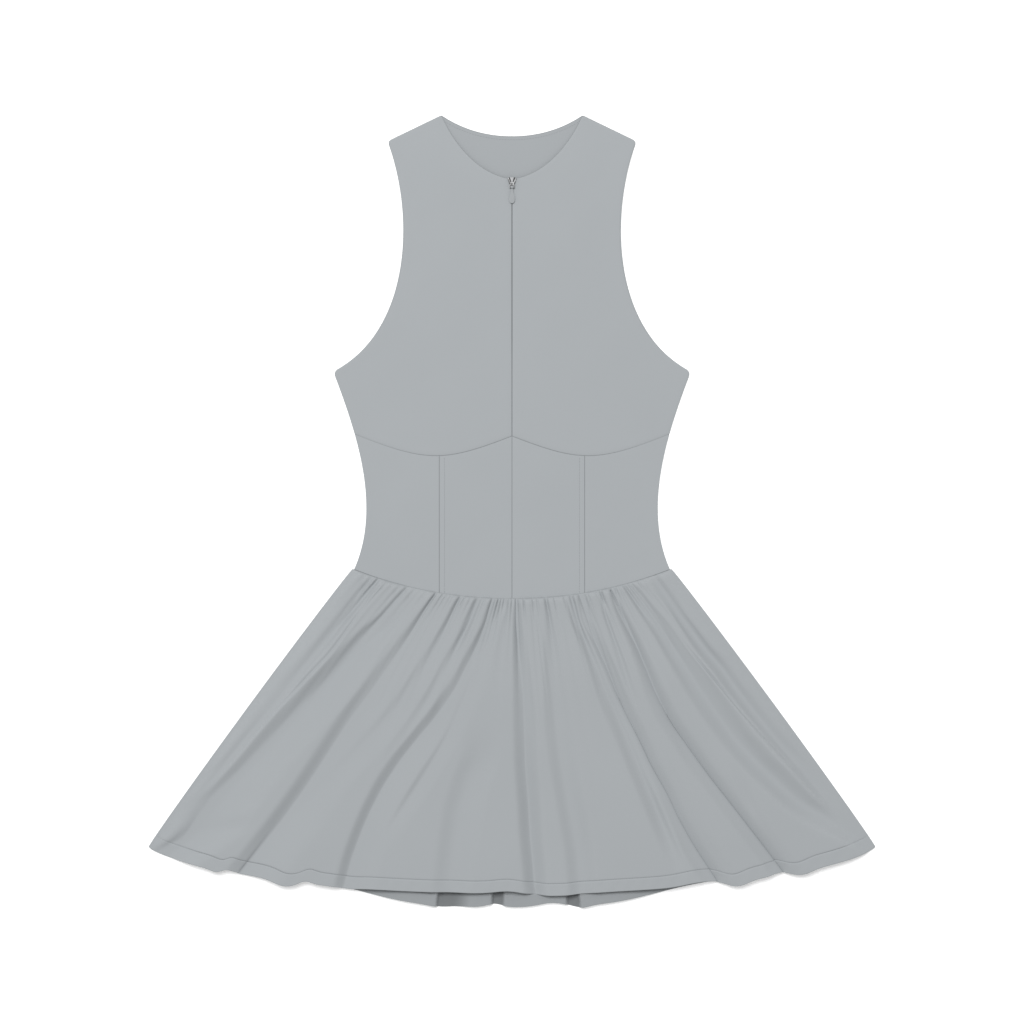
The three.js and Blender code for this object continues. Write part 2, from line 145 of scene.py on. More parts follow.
def makeMesh(name, vertices, faces, material, uv=None):
    # a smooth-shaded object from points in mm, with an unwrap in mm where one is given
    mesh = bpy.data.meshes.new(name)
    faces = faces if isinstance(faces, list) else faces.tolist()
    mesh.from_pydata((np.asarray(vertices) * mm).tolist(), [], faces)
    mesh.polygons.foreach_set("use_smooth", np.full(len(mesh.polygons), True))
    if uv is not None:
        corner = np.empty(len(mesh.loops), np.int32)
        mesh.loops.foreach_get("vertex_index", corner)
        layer = mesh.uv_layers.new(name="cloth")
        layer.data.foreach_set("uv", (np.asarray(uv)[corner] * mm).ravel())
    mesh.materials.append(material)
    mesh.update()
    return addObject(name, mesh)


def pointValues(made, name, values):
    # a value for each vertex that a finish can read; those past the end are 0
    filled = np.zeros(len(made.data.vertices))
    filled[:len(values)] = values
    made.data.attributes.new(name, "FLOAT", "POINT").data.foreach_set("value", filled)


def gridFaces(index):
    # the four corners of every cell of a grid of point numbers
    cells = [index[:-1, :-1], index[:-1, 1:], index[1:, 1:], index[1:, :-1]]
    return np.stack(cells, axis=-1).reshape(-1, 4)


def wallMesh(name, middle, material, uv):
    # both faces stand half the thickness off the middle, and less towards the rim by the root
    # of 1 - (1 - share)^2, which closes it round
    half = cloth["shell"] / 2
    nearest = np.minimum.reduce(edgeDistances(middle))
    roundOff = np.sqrt(1 - (1 - np.clip(nearest / half, 0, 1)) ** 2)[..., None]
    normal = gridNormals(middle)
    rows, columns = middle.shape[:2]
    top = np.arange(rows * columns).reshape(rows, columns)
    inside = np.zeros((rows, columns), bool)
    inside[1:-1, 1:-1] = True
    bottom = top.copy()
    bottom[inside] = rows * columns + np.arange(inside.sum())
    upper = middle + normal * roundOff * half
    lower = (middle - normal * roundOff * half)[inside]
    vertices = np.concatenate([upper.reshape(-1, 3), lower])
    faces = np.concatenate([gridFaces(top), gridFaces(bottom)[:, ::-1]])
    allUv = np.concatenate([uv.reshape(-1, 2), uv[inside]])
    made = makeMesh(name, vertices, faces, material, allUv)
    # Painted shade along the rim: the 'edge' value darkens the finish within its width, less from
    # the given height down.
    start, fade, share = cloth["edgeShadeBelow"]
    edge = 1 - np.clip(nearest / cloth["edgeShadeWidth"], 0, 1)
    edge *= share + (1 - share) * smooth((middle[..., 1] - start) / fade)
    pointValues(made, "edge", np.concatenate([edge.ravel(), edge[inside]]))
    return made


# Shader nodes. Value wraps a socket so that maths is written as Python expressions.

def plug(tree, entry, part):
    # links a value or socket to the entry, or sets the entry to a number or colour
    part = part.socket if isinstance(part, Value) else part
    if isinstance(part, bpy.types.NodeSocket):
        tree.links.new(part, entry)
    else:
        entry.default_value = part


class Value:
    def __init__(self, tree, socket):
        self.tree, self.socket = tree, socket

    def math(self, operation, a, b):
        # one Math node on two values or numbers
        node = self.tree.nodes.new("ShaderNodeMath")
        node.operation = operation
        for entry, part in zip(node.inputs, (a, b)):
            plug(self.tree, entry, part)
        return Value(self.tree, node.outputs[0])

    def __add__(self, other):
        return self.math("ADD", self, other)

    __radd__ = __add__

    def __sub__(self, other):
        return self.math("SUBTRACT", self, other)

    def __rsub__(self, other):
        return self.math("SUBTRACT", other, self)

    def __mul__(self, other):
        return self.math("MULTIPLY", self, other)

    __rmul__ = __mul__

    def wave(self, period):
        # a sine of the value, one wave for each period
        return self.math("SINE", self * (2 * np.pi / period), 0)

    def size(self):
        # the value without its sign
        return self.math("ABSOLUTE", self, 0)

    def within(self, middle, half, soft):
        # 1 in a band to both sides of the middle, falling to 0 over a soft edge
        share = (half - (self - middle).size()) * (1 / soft)
        return self.math("MINIMUM", self.math("MAXIMUM", share, 0), 1)


class Finish:
    # a material with one Principled shader, its constants set on its own sockets
    def __init__(self, name, **constants):
        self.material = bpy.data.materials.new(name)
        self.material.use_nodes = True
        self.tree = self.material.node_tree
        self.shader = self.tree.nodes["Principled BSDF"]
        for socket, value in constants.items():
            self.shader.inputs[socket].default_value = value

    def node(self, kind, settings=None, **sockets):
        # any node: its settings first, then the values or links of its sockets
        made = self.tree.nodes.new(kind)
        for key, value in (settings or {}).items():
            setattr(made, key, value)
        for key, value in sockets.items():
            plug(self.tree, made.inputs[key.replace("_", " ")], value)
        return made

    def here(self):
        # the place on the object itself
        return self.node("ShaderNodeTexCoord").outputs["Object"]

    def split(self, vector):
        # its three parts as values
        made = self.node("ShaderNodeSeparateXYZ", Vector=vector)
        return [Value(self.tree, made.outputs[axis]) for axis in "XYZ"]

    def painted(self, name):
        # a value kept at the points of the mesh
        made = self.node("ShaderNodeAttribute", {"attribute_name": name})
        return Value(self.tree, made.outputs["Fac"])

    def noise(self, scale, detail=2.0, roughness=0.5, vector=None):
        # cloudy noise from 0 to 1
        made = self.node("ShaderNodeTexNoise", Vector=self.here() if vector is None else vector,
                         Scale=scale, Detail=detail, Roughness=roughness)
        return Value(self.tree, made.outputs["Fac"])

    def mix(self, share, a, b):
        # a colour between two, by a share
        made = self.node("ShaderNodeMix", {"data_type": "RGBA"})
        for entry, part in ((0, share), (6, a), (7, b)):
            plug(self.tree, made.inputs[entry], part)
        return made.outputs[2]

    def bump(self, height, distance):
        # a fine relief, distance high where the height is 1
        made = self.node("ShaderNodeBump", Height=height, Distance=distance,
                         Strength=knit["relief"])
        return made.outputs["Normal"]

    def feed(self, **sockets):
        # links to the shader's own sockets, with _ for a space
        for key, value in sockets.items():
            plug(self.tree, self.shader.inputs[key.replace("_", " ")], value)
        return self.material


def darker(colour, share):
    # the colour times a share, opaque
    return tuple(c * share for c in colour[:3]) + (1,)


print("materials")

knit = {
    "light": (0.408, 0.431, 0.447, 1), "dark": (0.382, 0.404, 0.420, 1), "wale": 0.9,
    "course": 0.75, "loopDepth": 0.05, "mottleScale": 9.0, "fuzzScale": 900.0,
    "mottle": 0.6,  # its share of the tone, the nap has the rest
    "loops": 0.5,  # of the relief
    # the edge and inside tones: how dark the painted shade goes at the rims and on inner faces
    "nap": 0.6, "edgeShadeTone": 0.5, "paintedShadeTone": 0.5, "relief": 0.6,
}


def knitFinish(name, paintedShade=None):
    # fine jersey: columns of small V loops, a mottled tone and a little nap. With a painted shade
    # it darkens towards that by the mesh's own "inside" attribute: painted shade, as deep in a
    # fold, and partly a duller inner face. Each rim darkens by the "edge" attribute: painted
    # shade.
    made = Finish(name, **{"Roughness": 0.88, "Sheen Weight": 0.12, "Sheen Roughness": 0.5,
                           "Specular IOR Level": 0.25})
    flat = made.node("ShaderNodeUVMap", {"uv_map": "cloth"})
    across, down, _ = made.split(flat.outputs["UV"])
    slant = across.wave(knit["wale"] * mm).size() * (0.5 * knit["course"] * mm)
    ribs = across.wave(knit["wale"] * mm / 2)
    loops = (down + slant).wave(knit["course"] * mm) * 0.5 + ribs * 0.5
    mottle = made.noise(knit["mottleScale"], 3.0, 0.55)
    fuzz = made.noise(knit["fuzzScale"])
    tone = knit["mottle"] * mottle + (1 - knit["mottle"]) * fuzz
    colour = made.mix(tone, knit["dark"], knit["light"])
    # painted shade, darker where the 'inside' value is high: in folds and on the inner face
    if paintedShade:
        deep = darker(knit["light"], paintedShade)
        colour = made.mix(made.painted("inside"), colour, deep)
    # painted shade along each rim, by the 'edge' value
    rimShade = darker(knit["dark"], knit["edgeShadeTone"])
    colour = made.mix(made.painted("edge"), colour, rimShade)
    surface = loops * knit["loops"] + fuzz * knit["nap"]
    return made.feed(Base_Color=colour, Normal=made.bump(surface, knit["loopDepth"] * mm))


twist = {"scale": 1500.0, "dark": 0.86}
metal = {"brushing": (900, 120, 900), "dark": 0.9, "edge": 0.08, "spread": 0.16}
weave = {"rib": 0.5, "pick": 0.35, "depth": 0.06, "grainScale": 700.0, "dark": 0.85}


def threadFinish(name, colour):
    # matt thread, uneven along its twist
    made = Finish(name, **{"Roughness": 0.6, "Sheen Weight": 0.1})
    uneven = made.noise(twist["scale"], 1.0)
    return made.feed(Base_Color=made.mix(uneven, darker(colour, twist["dark"]), colour))


def metalFinish(name, colour, metallic, roughness, shadeBand):
    # plated metal with faint brushing and handling marks, with painted shade between two heights
    # in mm, where its slots and sides are
    made = Finish(name, **{"Metallic": metallic})
    streak = made.node("ShaderNodeMapping", Vector=made.here(), Scale=metal["brushing"])
    marks = made.noise(1.0, 3.0, vector=streak.outputs["Vector"])
    # painted shade in the band between the two heights
    low, high = shadeBand["from"] * mm, shadeBand["to"] * mm
    _, _, height = made.split(made.here())
    inShadeBand = height.within((low + high) / 2, (high - low) / 2, metal["edge"] * mm)
    face = made.mix(marks, darker(colour, metal["dark"]), colour)
    return made.feed(Base_Color=made.mix(inShadeBand, face, darker(colour, shadeBand["tone"])),
                     Roughness=roughness - metal["spread"] / 2 + marks * metal["spread"])


def tapeFinish(name, colour):
    # woven zip tape: fine ribs along and across
    made = Finish(name, **{"Roughness": 0.9})
    x, y, _ = made.split(made.here())
    ribs = x.wave(weave["rib"] * mm) * 0.5 + y.wave(weave["pick"] * mm) * 0.5
    grain = made.noise(weave["grainScale"])
    return made.feed(Base_Color=made.mix(grain, darker(colour, weave["dark"]), colour),
                     Normal=made.bump(ribs, weave["depth"] * mm))


jersey = knitFinish("jersey")
jerseyShaded = knitFinish("jersey_painted_shade", knit["paintedShadeTone"])
thread = threadFinish("thread", (0.345, 0.36, 0.375, 1))
topThread = threadFinish("topstitch_thread", (0.29, 0.303, 0.317, 1))
# Both have painted shade in a band of heights: the slider in its slots, the tab along its sides.
sliderMetal = metalFinish("slider_metal", (0.27, 0.275, 0.28, 1), 0.55, 0.46,
                          {"from": 5.3, "to": 6.54, "tone": 0.1})
tabPaint = metalFinish("tab_paint", (0.375, 0.395, 0.41, 1), 0.0, 0.72,
                       {"from": 5.55, "to": 6.37, "tone": 0.35})
zipTape = tapeFinish("zip_tape", (0.28, 0.295, 0.31, 1))
coilNylon = threadFinish("coil_nylon", (0.3, 0.315, 0.33, 1))


print("bodice")

bodice = {
    "shoulderNeck": (79, 444.8), "shoulderTip": (139.4, 415.5), "underarm": (200.3, 157.4),
    "waistSide": (177, -64.4),
    "sidePull": ((174.4, 89.5), (145.6, 6)),  # inner control points, as the other pulls
    "armholePull": ((112.5, 202.5), (108.3, 332.9)),
    "frontNeckPull": ((37.1, 377.1), (66.1, 413.5)),
    "backNeckPull": ((28.4, 421.1), (56.3, 429.3)), "underbustPull": ((75.2, 55.8), (95.1, 54.9)),
    "frontNeckY": 373.3, "backNeckY": 421.4, "underbustCentreY": 85.1,
    "underbustSide": (175.3, 87.1), "uprightSeam": 81.4, "topstitch": 75.6,
    "topstitchEnds": 1.2,  # short of the seams
    "neckStitch": 4, "neckStitchEnds": 3, "paintedShade": 0.09, "waistCentreY": -97.2,
    "waistPower": 2.1, "neckCorner": 1.0, "shoulderCorner": 5, "underarmCorner": 6,
    "gridStep": 2.2,
}

sideLine = bezier(bodice["underarm"], *bodice["sidePull"], bodice["waistSide"])
armholeLine = bezier(bodice["underarm"], *bodice["armholePull"], bodice["shoulderTip"])
frontNeckLine = bezier((cloth["zipGap"] / 2, bodice["frontNeckY"]), *bodice["frontNeckPull"],
                       bodice["shoulderNeck"])
backNeckLine = bezier((0, bodice["backNeckY"]), *bodice["backNeckPull"], bodice["shoulderNeck"])
shoulderLine = straight(bodice["shoulderNeck"], bodice["shoulderTip"])
underbustLine = bezier((0, bodice["underbustCentreY"]), *bodice["underbustPull"],
                       bodice["underbustSide"])


def waistY(x):
    # the waist seam climbs from its middle as a power of the distance to the side
    centre, side = bodice["waistCentreY"], bodice["waistSide"]
    return centre + (side[1] - centre) * np.abs(x / side[0]) ** bodice["waistPower"]


waistX = np.linspace(0, bodice["waistSide"][0], linePoints["curve"])
waistLine = np.stack([waistX, waistY(waistX)], axis=1)


def between(line, axis, low, high):
    # the stretch of a line where its x (0) or y (1) runs from low to high, in that order
    order = np.argsort(line[:, axis])
    values = np.linspace(low, high, linePoints["curve"])
    other = np.interp(values, line[order, axis], line[order, 1 - axis])
    return np.stack([values, other] if axis == 0 else [other, values], axis=1)


def patch(lower, upper, inner, outer):
    # plan points inside four lines: the straight blends both ways less the blend of the corners
    width = max(lengths(lower)[-1], lengths(upper)[-1])
    height = max(lengths(inner)[-1], lengths(outer)[-1])
    s = evenWithRim(int(width / bodice["gridStep"]) + 3, width)
    t = evenWithRim(int(height / bodice["gridStep"]) + 3, height)
    low, high = along(lower, s)[None], along(upper, s)[None]
    near, far = along(inner, t)[:, None], along(outer, t)[:, None]
    s, t = s[None, :, None], t[:, None, None]
    corners = ((1 - s) * (1 - t) * lower[0] + s * (1 - t) * lower[-1]
               + (1 - s) * t * upper[0] + s * t * upper[-1])
    return (1 - t) * low + t * high + (1 - s) * near + s * far - corners


def mirrored(plan):
    # the other half, with its columns in reverse so that it still faces up
    return (plan * (-1, 1))[:, ::-1]


def ripples(x, y):
    # broad faint unevenness of pressed cloth: crossing sines, their lengths in mm a radian
    return cloth["ripple"] * (np.sin(x / 31 + y / 57) * np.sin(y / 43 - x / 71 + 1)
                              + 0.5 * np.sin(x / 17 - y / 23 + 2) * np.sin(y / 29 + 0.5))


def frontRise(x, y):
    # highest in the middle, none at the sides and at the shoulders
    sides = np.maximum(0, 1 - (x / cloth["riseHalf"]) ** 2)
    neck = smooth((bodice["shoulderNeck"][1] - y) / cloth["riseFade"])
    return cloth["rise"] * sides * neck


def panelMiddle(plan, base, dipDepth, ripple=1.0):
    # the middle surface: base height and ripples, with a soft dip along each edge
    x, y = plan[..., 0], plan[..., 1]
    nearest = np.minimum.reduce(edgeDistances(plan))
    dip = dipDepth * np.exp(-nearest / cloth["dipWidth"])
    away = smooth(nearest / cloth["rippleFrom"])
    z = base(x, y) + cloth["shell"] / 2 + ripple * ripples(x, y) * away - dip
    return np.dstack([x, y, z])


def frontBase(x, y):
    # underside of the front: where it lies on the back, plus its rise
    return cloth["floor"] + frontRise(x, y)


halfSeam = np.array([0, cloth["seamGap"] / 2])


def bodicePlan(lower, neckLine):
    # half of the front or back above its lower line: along the side and armhole to the middle of
    # the shoulder tip's round corner, and along the neck and shoulder to the same point
    side = between(sideLine, 1, lower[-1, 1], bodice["underarm"][1])
    side[0] = lower[-1]
    neck = rounded(neckLine, shoulderLine, bodice["neckCorner"])
    tip = cornerBetween(neck, armholeLine[::-1], bodice["shoulderCorner"])
    half = len(tip) // 2 + 1
    upper = join(cut(neck, 0, bodice["shoulderCorner"]), tip[:half])
    outer = rounded(side, armholeLine, bodice["underarmCorner"])
    outer = join(cut(outer, 0, bodice["shoulderCorner"]), tip[half - 1:][::-1])
    return patch(lower, upper, straight(lower[0], upper[0]), outer)


def midriffPlan(innerX, outerX=None):
    # between underbust and waist seam, from one x to the other or to the side seam
    upper = between(underbustLine, 0, innerX, outerX or bodice["underbustSide"][0]) - halfSeam
    lower = between(waistLine, 0, innerX, outerX or bodice["waistSide"][0]) + halfSeam
    if outerX:
        outer = straight(lower[-1], upper[-1])
    else:
        outer = between(sideLine, 1, lower[-1, 1], upper[-1, 1])
        outer[0], outer[-1] = lower[-1], upper[-1]
    return patch(lower, upper, straight(lower[0], upper[0]), outer)


def clothPiece(name, middle, uv=None, finish=None):
    # a shell in place of the solid it is named after; the front's table gives flat and area, its
    # cut, in metres
    made = wallMesh(name, middle, finish or jersey, middle[..., :2] if uv is None else uv)
    node = name.removesuffix("_cloth")
    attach(made, "dress")
    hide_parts(node)
    return made


upright = bodice["uprightSeam"]
half = cloth["seamGap"] / 2
frontLower = between(underbustLine, 0, cloth["zipGap"] / 2, bodice["underbustSide"][0]) + halfSeam
frontPanels = {
    "front_bodice": (bodicePlan(frontLower, frontNeckLine), (0.205, 0.385), 0.0545),
    "midriff_centre": (midriffPlan(half, upright - half), (0.085, 0.19), 0.0125),
    "midriff_side": (midriffPlan(upright + half), (0.1, 0.185), 0.0130),
}
for name, (plan, flat, area) in frontPanels.items():
    dip = cloth["edgeDip"] if name == "front_bodice" else cloth["seamDip"]
    for side, own in (("right", plan), ("left", mirrored(plan))):
        clothPiece(f"{name}_{side}_cloth", panelMiddle(own, frontBase, dip))

backHalf = bodicePlan(waistLine + halfSeam, backNeckLine)
backPlan = np.concatenate([mirrored(backHalf), backHalf[:, 1:]], axis=1)
backPanel = panelMiddle(backPlan, lambda x, y: np.full_like(x, cloth["restGap"]), 0, 0)
backBodice = clothPiece("back_bodice_cloth", backPanel, finish=jerseyShaded)
# The back's whole inner face gets a little painted shade.
pointValues(backBodice, "inside", np.full(backPlan[..., 0].size, bodice["paintedShade"]))


print("skirt")

skirt = {
    "waistHalf": 178.5, "hemHalf": 407, "sideSwell": 4, "cornerY": -375, "hemDrop": 51,
    "hemPower": 2.2, "hemRoundness": 0.7, "columns": 400,
    "columnsTo": 0.996,  # share of the half width that the even ones reach
    "sideColumns": (0, 0.0001, 0.0005, 0.0015), "tuckColumns": 15, "tuckReach": 0.016,
    "tuckWidth": 3.2,
    "tuckBack": 0.2,  # how much of it the right side moves to the left
    "tuckLimit": 0.93, "bandFrom": 0.75, "bandTo": 0.9, "edgeFadePower": 24, "band": 13.4,
    "bandRaise": 0.3, "bandSoft": 0.8, "stitchGroove": 0.75, "grooveWidth": 0.55,
    "seamTuck": 0.02, "seamTuckLength": 1.2,
    "seamOverlap": 0.5,  # the skirt runs on under the midriff by this
    "trackSmooth": 26, "creaseRound": 0.8,
    "cornerRoom": 0.8,  # share of the way to the left side that a crease may take there
    "cornerShift": 0.6,
    "narrowest": 0.4,  # share of a crease's width that it has at the waist
    "wideBy": 0.45, "leastRoom": 3,
    "bottomShift": 0.42,  # of the left flank, for creases less sharp than the next
    "bottomSharp": 0.6, "leastFlank": 0.5, "ripple": 0.6, "rippleBy": 0.4, "unwrap": (480, 330),
}
# Rows from the hem up: the rim's in mm above the hem, on a skirt of this length, then shares.
rows = {"length": 300, "rim": (0, 0.05, 0.2, 0.5, 1.0, 2, 4.5, 7, 9.5, 11.4, 12.3, 12.8, 13.1,
                               13.4, 13.7, 14.0, 14.5, 15.3, 17),
        "bodyFrom": 20, "bodyTo": 0.16, "body": 46, "topFrom": 0.15, "topTo": 0.007, "top": 23,
        "last": (0.004, 0.002, 0.0008, 0)}
growth = {"start": 0.2, "end": 0.25, "full": 0.8}  # shares of the way down
puckers = {"height": 0.22, "length": 3.1, "sway": 2, "swayLength": 23, "aboveHem": 6, "reach": 5}
photo = {"centre": 511.5, "scale": 1.12}  # photo pixels to millimetres, y down to y up

# Creases of the front: depth, left and right flank in mm and sharpness, 0 for a soft trough and
# 1 for a V; from and to as shares of the way down, and the share of its depth left at the waist;
# its darkest line in photo pixels.
frontCreases = {
    "outerLeft": ((6.0, 14, 9, 0.3), (0, 0.92, 0.3), [
        (379, 581), (348, 613), (310, 655), (273, 696), (238, 735), (206, 773), (171, 814)]),
    "thinLeft": ((2.8, 3.4, 3.6, 0.8), (0, 0.95, 0.5), [
        (378, 581), (367, 599), (359, 611), (346, 630), (331, 651), (289, 696), (247, 739),
        (213, 771), (186, 793)]),
    "broadLeft": ((11.4, 20, 36, 0.35), (0, 2, 0.7), [
        (411, 589), (387, 616), (360, 640), (328, 676), (290, 715), (241, 768), (214, 794),
        (184, 822), (159, 839)]),
    "deepLeft": ((8.4, 15, 42, 0.35), (0, 2, 0.5), [
        (436, 596), (419, 618), (397, 650), (373, 684), (348, 717), (324, 754), (305, 783),
        (283, 814), (266, 836), (249, 858), (238, 872)]),
    "besideDeepLeft": ((4.0, 13, 22, 0.2), (0, 0.98, 0.6), [
        (460, 596), (448, 621), (419, 669), (393, 705), (348, 754), (310, 793), (283, 822),
        (264, 848)]),
    "shortLeft": ((2.2, 9, 9, 0.3), (0, 0.6, 0.9), [
        (478, 600), (468, 625), (452, 650), (431, 690), (415, 715), (399, 740)]),
    "longLeft": ((7.4, 12, 34, 0.45), (0, 2, 0.55), [
        (493, 601), (487, 623), (478, 640), (467, 662), (455, 686), (439, 710), (419, 734),
        (399, 759), (382, 785), (368, 812), (358, 836), (350, 858), (344, 880)]),
    "thinLongLeft": ((3.4, 9, 16, 0.5), (0, 0.9, 0.7), [
        (502, 604), (496, 616), (487, 640), (477, 664), (467, 688), (457, 710), (445, 737),
        (431, 761), (416, 785), (397, 814), (377, 844)]),
    "lowLeft": ((4.4, 20, 26, 0.1), (0.4, 2, 0.2), [
        (480, 700), (472, 754), (462, 778), (453, 807), (448, 839), (445, 866)]),
    "lowThin": ((1.3, 7, 9, 0.3), (0.4, 0.95, 0.1), [
        (488, 730), (484, 754), (475, 802), (470, 851)]),
    "centre": ((8.6, 14, 16, 0.5), (0, 2, 0.5), [
        (515.8, 600), (519, 657), (522, 696), (523, 730), (524, 766), (527, 802), (529, 839),
        (532, 868), (533, 885)]),
    "softRight": ((5.4, 16, 20, 0.2), (0.02, 2, 0.5), [
        (545, 600), (548, 640), (551, 696), (553, 730), (558, 766), (563, 795), (568, 822),
        (573, 851), (575, 875)]),
    "besideDeepRight": ((6.6, 14, 11, 0.3), (0, 1.0, 0.7), [
        (569, 600), (575, 623), (585, 645), (594, 667), (602, 691), (614, 717), (626, 744),
        (636, 768), (645, 790), (657, 819)]),
    "deepRight": ((9.8, 17, 16, 0.8), (0, 1.2, 0.5), [
        (582, 600), (585, 621), (597, 647), (607, 669), (616, 693), (626, 715), (638, 739),
        (650, 766), (665, 793), (677, 819), (691, 844), (708, 870)]),
    "shortRight": ((2.4, 8, 6, 0.5), (0, 0.5, 0.9), [
        (602, 600), (605, 615), (612, 635), (621, 662), (630, 690), (638, 715)]),
    "sharpRight": ((9.0, 15, 15, 0.8), (0, 1.2, 0.55), [
        (614, 594), (618, 608), (626, 625), (636, 645), (645, 667), (655, 693), (670, 722),
        (689, 749), (708, 776), (728, 802), (745, 824), (762, 846), (774, 862)]),
    "lowRight": ((2.4, 10, 10, 0.3), (0.6, 0.97, 1), [
        (735, 775), (742, 793), (752, 817), (764, 839)]),
    "broadRight": ((9.8, 18, 22, 0.25), (0, 2, 0.65), [
        (627, 584), (643, 608), (655, 625), (670, 650), (682, 669), (694, 688), (711, 713),
        (730, 739), (752, 764), (774, 785), (796, 805), (820, 819), (844, 831)]),
    "thinRight": ((3.0, 2.4, 3, 1), (0.15, 0.95, 1), [
        (670, 625), (689, 650), (711, 676), (733, 703), (757, 730), (784, 759), (815, 790),
        (839, 812)]),
    "outerRight": ((9.4, 14, 14, 0.25), (0, 2, 0.8), [
        (650, 576), (670, 604), (682, 623), (701, 650), (718, 669), (733, 691), (752, 715),
        (774, 742), (798, 768), (820, 795), (844, 822), (864, 837)]),
}
# Where the cloth left of a crease lies over the cloth right of it: the shape of the step, where
# it starts, over how much it grows, and how far the cloth is tucked sideways.
overlaps = {
    "deepLeft": ((3, 3, 18, 0.5), 0.78, 0.2, 1.8),
    "deepRight": ((5, 4, 26, 0.5), 0.15, 0.65, 4.6),
    "sharpRight": ((4.6, 4, 22, 0.5), 0.2, 0.65, 4.2),
}

# Waves of the hem: place, drop in mm and width, the first and last as shares of the half width.
frontHemWaves = [
    (-0.81, 2.6, 0.025), (-0.785, -3.4, 0.02), (-0.625, 5.6, 0.04), (-0.567, -3, 0.022),
    (-0.45, 2, 0.04), (-0.01, -2.8, 0.05), (0.12, 3, 0.1), (0.52, -3.6, 0.06),
    (0.62, 5.8, 0.038), (0.735, -3.2, 0.025), (0.8, 4, 0.035),
]
backHemWaves = [
    (-0.2, 1.8, 0.04), (-0.05, -3.2, 0.03), (0.11, -4.4, 0.05), (0.19, 2.6, 0.03),
]

# Gathers under the waist seam of the front, from the photo: column, then strength.
gathers = {
    "places": [
        (357, 1.3), (366, 1.2), (373, 3), (379, 2.8), (388, 1), (394, 0.6), (401, 1), (408, 1.8),
        (416, 1), (421, 0.6), (427, 1), (436, 1.7), (443, 1), (447, 0.8), (452, 1), (460.5, 2),
        (465, 1), (471, 1), (478, 2.4), (481, 1), (485, 1), (493, 2.3), (498, 1.2), (501, 1),
        (504, 1), (507, 1.8), (511.5, 1.2), (516, 2.4), (523, 1), (532, 1.2), (536, 1), (545, 2),
        (553, 1), (555, 0.7), (563, 1), (570, 1.9), (578, 1.2), (581, 2.8), (586, 1), (595, 1.2),
        (599, 1), (609, 1.3), (614, 1), (618, 1), (622, 1.8), (627, 2), (630, 1), (636, 1.2),
        (643, 1), (647, 1), (650, 1.7), (654, 1), (662, 0.8)],
    "depth": 3.4, "width": 2.2, "fade": 0.05, "puff": 2.6, "puffFade": 0.1, "deepest": 4.2,
    "uneven": 0.3, "unevenTurn": 1.7, "strongWidth": (0.7, 0.3), "spread": 4, "sharp": 1.3,
}
fan = {"places": (-1, -0.83, -0.64, -0.47, -0.11, 0.03, 0.44, 0.64, 0.72, 0.87, 1),
       "leans": (-0.35, -0.6, -0.7, -0.5, -0.45, 0, 0.08, 0, 0.35, 0.3, 0.15), "length": 0.25,
       "room": 0.5}
lift = {"waist": 3.0, "middle": 9.6, "hem": 10.6, "centreHem": 1.6, "least": 0.3, "rollIn": 1.4,
        "sidePower": 44, "middleBy": 0.35, "hemFrom": 0.3, "centreFrom": 0.6, "centreWidth": 0.4,
        "waistRiseBy": 0.5, "floorTurn": 0.4, "bottom": 0.05}
streaks = {"count": 66, "seed": 3, "depth": (0.3, 1.15), "width": (2.6, 7.5),
           "to": (0.25, 0.95), "reach": 0.93, "jitter": 0.02, "wander": 0.04, "widen": (0.4, 0.6)}


def edgeFade(place):
    # 1 all over, falling to 0 at both sides by a high power of the place
    return 1 - np.abs(place) ** skirt["edgeFadePower"]


def hemLine(place, waves):
    # an arch from corner to corner, dropped by a bell for each wave
    arch = np.maximum(1 - np.abs(place) ** skirt["hemPower"], 0) ** skirt["hemRoundness"]
    drops = sum(drop * bell(place - middle, width) for middle, drop, width in waves)
    return skirt["cornerY"] - skirt["hemDrop"] * arch - drops * edgeFade(place)


def halfWidthAt(down):
    # straight from the waist to the hem, with a swell that follows a root of a sine
    swell = skirt["sideSwell"] * np.sqrt(np.sin(np.pi * np.clip(down, 0, 1)))
    return skirt["waistHalf"] + (skirt["hemHalf"] - skirt["waistHalf"]) * down + swell


def heightAt(place, down, hem):
    # straight blends from the waist seam to the hem
    top = waistY(place * bodice["waistSide"][0]) + skirt["seamOverlap"]
    return top + (hem(place) - top) * down


def trackX(track, y):
    # x of a given line at each y: straight steps smoothed by a moving Hann window
    points = (np.array(track) - photo["centre"]) * photo["scale"] * (1, -1)
    points = points[np.argsort(points[:, 1])]
    first = (points[1] - points[0]) / (points[1, 1] - points[0, 1])
    last = (points[-1] - points[-2]) / (points[-1, 1] - points[-2, 1])
    ends = (points[0] - first * 300, points[-1] + last * 300)
    points = np.concatenate([[ends[0]], points, [ends[1]]])
    even = np.arange(points[0, 1], points[-1, 1], 1.0)
    window = np.hanning(skirt["trackSmooth"])
    line = np.convolve(np.interp(even, points[:, 1], points[:, 0]), window / window.sum(), "same")
    return np.interp(y, even, line)


def trackPlace(track, down, hem):
    # the place share of a track at each share of the way down, found in four rounds
    place = np.zeros_like(down)
    for _ in range(4):
        place = trackX(track, heightAt(place, down, hem)) / halfWidthAt(down)
    return np.clip(place, -skirt["tuckLimit"], skirt["tuckLimit"])


def rowShares():
    # shares of the way down: close at the hem's rim, its stitches and the top
    rim = 1 - np.array(rows["rim"]) / rows["length"]
    body = np.linspace(1 - rows["bodyFrom"] / rows["length"], rows["bodyTo"], rows["body"])
    top = np.linspace(rows["topFrom"], rows["topTo"], rows["top"])
    return np.concatenate([rim, body, top, rows["last"]])


